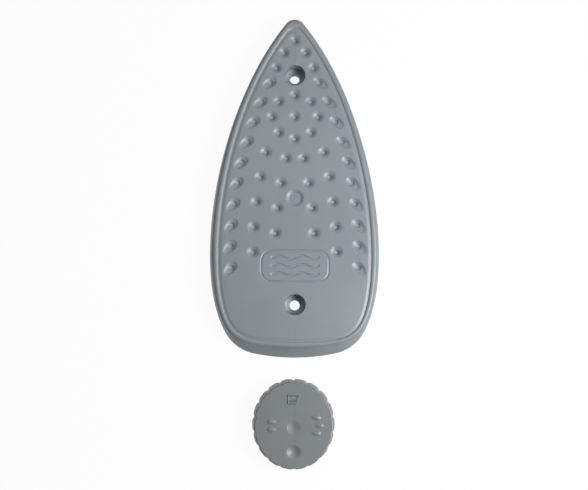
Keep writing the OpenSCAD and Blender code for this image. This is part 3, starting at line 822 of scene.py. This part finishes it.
class Look:  # a material or the world, and the nodes in it
    def __init__(self, owner):
        self.owner = owner
        owner.use_nodes = True
        self.tree = owner.node_tree
        self.tree.nodes.clear()

    def node(self, kind, settings=None, inputs=None, out=0):
        made = self.tree.nodes.new(kind)
        for name, value in (settings or {}).items():
            setattr(made, name, value)
        for name, value in (inputs or {}).items():
            if isinstance(value, Wire):
                self.tree.links.new(value.socket, made.inputs[name])
            else:
                made.inputs[name].default_value = value
        return Wire(self, made.outputs[out]) if made.outputs else made

    def outputs(self, kind, inputs, names):  # several outputs of one node
        made = self.node(kind, {}, inputs).socket.node
        return [Wire(self, made.outputs[name]) for name in names]

    def blend(self, factor, first, second):  # two colours mixed, on the sockets that a Mix has for colours
        return self.node("ShaderNodeMix", {"data_type": "RGBA"}, {0: factor, 6: first, 7: second}, 2)

    def ramp(self, value, low, high):  # a smooth step from 0 at the first value to 1 at the second
        settings = {"interpolation_type": "SMOOTHSTEP"}
        return self.node("ShaderNodeMapRange", settings, {0: value, 1: low, 2: high})

    def noise(self, place, size, detail, roughness=0.5):  # size is the length of a feature in millimetres
        return self.node("ShaderNodeTexNoise", {}, {
            "Vector": place, "Scale": 1 / (size * mm), "Detail": detail, "Roughness": roughness,
        })

    def wander(self, place, size, reach):  # a slow drift to both sides of 0
        return (self.noise(place, size, 1) - 0.5) * (reach * mm)

    def specks(self, place, spec):  # a noise cut to a mask between two of its values
        noise = self.noise(place, spec["size"], spec["detail"], spec["rough"])
        return self.ramp(noise, spec["from"], spec["to"])

    def hair(self, value, middle, width):  # a mask that is 1 on a thin line and fades to its sides
        return self.ramp(abs(value - middle * mm), width * mm, 0)

    def vector(self, operation, first, second, out=0):
        return self.node("ShaderNodeVectorMath", {"operation": operation}, {0: first, 1: second}, out)

    def away(self, place, point):  # the distance from a point
        return self.vector("DISTANCE", place, Vector(point) * mm, "Value")


def tone(r, g, b):  # a colour as a screen shows it, from 0 to 255, turned into light by the sRGB curve
    def light(v):
        return ((v + 0.055) / 1.055) ** 2.4 if v > 0.04045 else v / 12.92
    return light(r / 255), light(g / 255), light(b / 255), 1


def grey(value):
    return value, value, value, 1


silver = {
    "roughness": 0.44, "shine": 0.9, "metal": 0.06,
    "cloud": {"size": 38, "detail": 3, "rough": 0.55, "from": 0.35, "to": 0.65},
    "flake": {"size": 0.22, "detail": 2, "rough": 0.6, "from": 0.56, "to": 0.74},
    "scuff": {"size": 0.5, "detail": 3, "rough": 0.6, "from": 0.62, "to": 0.78},
    "cloudShare": 0.6, "flakeShare": 0.35, "scuffStretch": (1, 0.03, 1),
    "grainSize": 0.3, "grainDetail": 2, "grainRough": 0.6, "grainDepth": 0.012, "bump": 0.5,
    "grainDull": 0.08, "cloudDull": -0.03, "scuffDull": 0.06,  # what each adds to the roughness
}
plateTones = {
    "body": tone(146, 154, 159), "cloud": tone(153, 161, 166),
    "flake": tone(176, 183, 187), "weld": tone(112, 119, 124),
}
# the plate's silver made darker throughout: painted shade, standing in for weaker light on the dial
shadedDialTones = {
    "body": tone(131, 136, 140), "cloud": tone(138, 143, 147),
    "flake": tone(158, 162, 166), "weld": tone(102, 106, 110),
}


def silverPlastic(name, tones, lines):  # lines gives the weld lines and flow marks of one moulding
    look = Look(bpy.data.materials.new(name))
    place = look.node("ShaderNodeTexCoord", out="Object")
    cloud, flake = look.specks(place, silver["cloud"]), look.specks(place, silver["flake"])
    colour = look.blend(cloud * silver["cloudShare"], tones["body"], tones["cloud"])
    colour = look.blend(flake * silver["flakeShare"], colour, tones["flake"])
    colour = look.blend(lines(look, place), colour, tones["weld"])
    grain = look.noise(place, silver["grainSize"], silver["grainDetail"], silver["grainRough"])
    scuff = look.specks(look.vector("MULTIPLY", place, silver["scuffStretch"]), silver["scuff"])
    rough = silver["roughness"] + grain * silver["grainDull"] + cloud * silver["cloudDull"]
    rough = rough + scuff * silver["scuffDull"]
    bump = look.node("ShaderNodeBump", {}, {
        "Strength": silver["bump"], "Distance": silver["grainDepth"] * mm, "Height": grain,
    })
    shader = look.node("ShaderNodeBsdfPrincipled", {}, {
        "Base Color": colour, "Roughness": rough, "Normal": bump, "Specular IOR Level": silver["shine"],
        "Metallic": silver["metal"],
    })
    look.node("ShaderNodeOutputMaterial", {}, {0: shader})
    return look.owner


plateMarks = {
    "weldWidth": 0.28, "wander": 0.14, "wanderSize": 9,
    "aheadFrom": 4, "aheadTo": 5, "ahead": 0.8, "behindFrom": 4, "behindTo": 7, "behind": 0.28,
    "ringRadius": 8.8, "ringWidth": 0.4, "ring": 0.22, "haloOut": 8.9, "haloIn": 8.6, "halo": 0.04,
    # shade is painted shade in the gate's recess
    "shade": 0.12,
}


def plateLines(look, place):  # the weld line at the nose and the heel, the witness ring of the gate, and painted shade in the gate's recess
    marks, rear = plateMarks, plate["heelAt"] + wells["rear"]
    front = rear + wells["pitch"]
    x, y = look.outputs("ShaderNodeSeparateXYZ", {0: place}, "XY")
    bent = x + look.wander(place, marks["wanderSize"], marks["wander"])
    weld = look.hair(bent, 0, marks["weldWidth"])
    ahead = weld * look.ramp(y, (front + marks["aheadFrom"]) * mm, (front + marks["aheadTo"]) * mm)
    behind = weld * look.ramp(y, (rear - marks["behindFrom"]) * mm, (rear - marks["behindTo"]) * mm)
    away = look.away(place, (0, plate["heelAt"] + gate["y"], plate["face"]))
    ring = look.hair(away, marks["ringRadius"], marks["ringWidth"])
    # painted shade, darkest in the middle of the gate's recess
    shade = look.ramp(away, gate["radius"] * mm, 0)
    halo = look.ramp(away, marks["haloOut"] * mm, marks["haloIn"] * mm)
    welds = ahead * marks["ahead"] + behind * marks["behind"]
    return welds + ring * marks["ring"] + shade * marks["shade"] + halo * marks["halo"]


dialMarks = {
    "flowAside": 0.8, "flowWidth": 1.6, "flowEnd": 19, "flowFull": 4, "flow": 0.16,
    # shadeRadius and shade give painted shade over the bowl in the middle
    "wander": 3, "wanderSize": 14, "shadeRadius": 3.4, "shade": 0.1,
}


def dialLines(look, place):  # a flow mark that bends across the face, and painted shade over the bowl in the middle
    marks, centre = dialMarks, dial["centre"]
    x = look.outputs("ShaderNodeSeparateXYZ", {0: place}, "X")[0]
    away = look.away(place, (centre.x, centre.y, dial["height"]))
    bent = x + look.wander(place, marks["wanderSize"], marks["wander"])
    flow = look.hair(bent, centre.x + marks["flowAside"], marks["flowWidth"])
    flow = flow * look.ramp(away, marks["flowEnd"] * mm, marks["flowFull"] * mm)
    # the darker middle is painted shade over the bowl there
    return flow * marks["flow"] + look.ramp(away, marks["shadeRadius"] * mm, 0) * marks["shade"]


# pieces

soleplateMoulding = makeSoleplate()
soleplateMoulding.data.materials.append(silverPlastic("silver plate plastic with painted shade", plateTones, plateLines))
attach(soleplateMoulding, "plate")
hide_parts("soleplate")

dialMoulding = makeDial()
dialMoulding.data.materials.append(silverPlastic("silver dial plastic with painted shade", shadedDialTones, dialLines))
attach(dialMoulding, "heat_dial")
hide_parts("dial")
print("finishes on")


# the table, the lamps, the sky and the camera

table = {"size": 6000, "paper": 0.1, "shade": 0.9, "seen": 0.95}


def makeTable():  # paper that looks white to the camera, and keeps a little of the shadow
    h = table["size"] / 2 * mm
    mesh = bpy.data.meshes.new("tableTop")
    mesh.from_pydata([(-h, -h, 0), (h, -h, 0), (h, h, 0), (-h, h, 0)], [], [(0, 1, 2, 3)])
    made = addObject("tableTop", mesh)
    look = Look(bpy.data.materials.new("white paper"))
    direct, glossy, through = look.outputs("ShaderNodeLightPath", {}, (
        "Is Camera Ray", "Is Glossy Ray", "Is Transmission Ray"))
    paper = look.node("ShaderNodeBsdfDiffuse", {}, {0: grey(table["paper"])})
    shade = look.node("ShaderNodeBsdfDiffuse", {}, {0: grey(table["shade"])})
    glow = look.node("ShaderNodeEmission", {}, {0: grey(1), 1: 1})
    white = look.node("ShaderNodeMixShader", {}, {0: table["seen"], 1: shade, 2: glow})
    seen = look.node("ShaderNodeMixShader", {}, {0: direct + glossy + through, 1: paper, 2: white})
    look.node("ShaderNodeOutputMaterial", {}, {0: seen})
    mesh.materials.append(look.owner)


lamps = {
    "window": {"at": (420, -110, 470), "size": (300, 200), "watts": 3.4},
    "overhead": {"at": (0, 500, 900), "size": (900, 900), "watts": 2.2},
}


def makeLamps():  # white lamps that look at the middle of the table
    for name, lamp in lamps.items():
        light = bpy.data.lights.new(name, "AREA")
        light.shape = "RECTANGLE"
        light.size, light.size_y = lamp["size"][0] * mm, lamp["size"][1] * mm
        light.energy = lamp["watts"]
        made = addObject(name, light)
        made.location = Vector(lamp["at"]) * mm
        made.rotation_euler = (-Vector(lamp["at"])).to_track_quat("-Z", "Y").to_euler()
        made.visible_camera = False


sky = {"light": 0.07}


def makeSky():  # white to the camera, and faint for everything else
    world = bpy.data.worlds.new("studio")
    bpy.context.scene.world = world
    look = Look(world)
    direct = look.node("ShaderNodeLightPath", out="Is Camera Ray")
    faint = look.node("ShaderNodeBackground", {}, {0: grey(1), 1: sky["light"]})
    white = look.node("ShaderNodeBackground", {}, {0: grey(1), 1: 1})
    mixed = look.node("ShaderNodeMixShader", {}, {0: direct, 1: faint, 2: white})
    look.node("ShaderNodeOutputWorld", {}, {0: mixed})


camera = {
    "frame": 588, "focal": 930, "sensor": 36,  # the frame's width and the focal length in pixels
    "at": (-7.7, -58.5, 492.7), "ahead": math.radians(6.44), "right": math.radians(0.86),
    "nearest": 10, "furthest": 20000,
}


def makeCamera():
    data = bpy.data.cameras.new("camera")
    data.sensor_fit, data.sensor_width = "HORIZONTAL", camera["sensor"]
    data.lens = camera["sensor"] * camera["focal"] / camera["frame"]
    data.clip_start, data.clip_end = camera["nearest"] * mm, camera["furthest"] * mm
    made = addObject("camera", data)
    made.location = Vector(camera["at"]) * mm
    made.rotation_euler = (camera["ahead"], -camera["right"], 0)
    bpy.context.scene.camera = made


makeTable()
makeLamps()
makeSky()
makeCamera()
bpy.context.scene.view_settings.view_transform = "Standard"
print("scene set out")
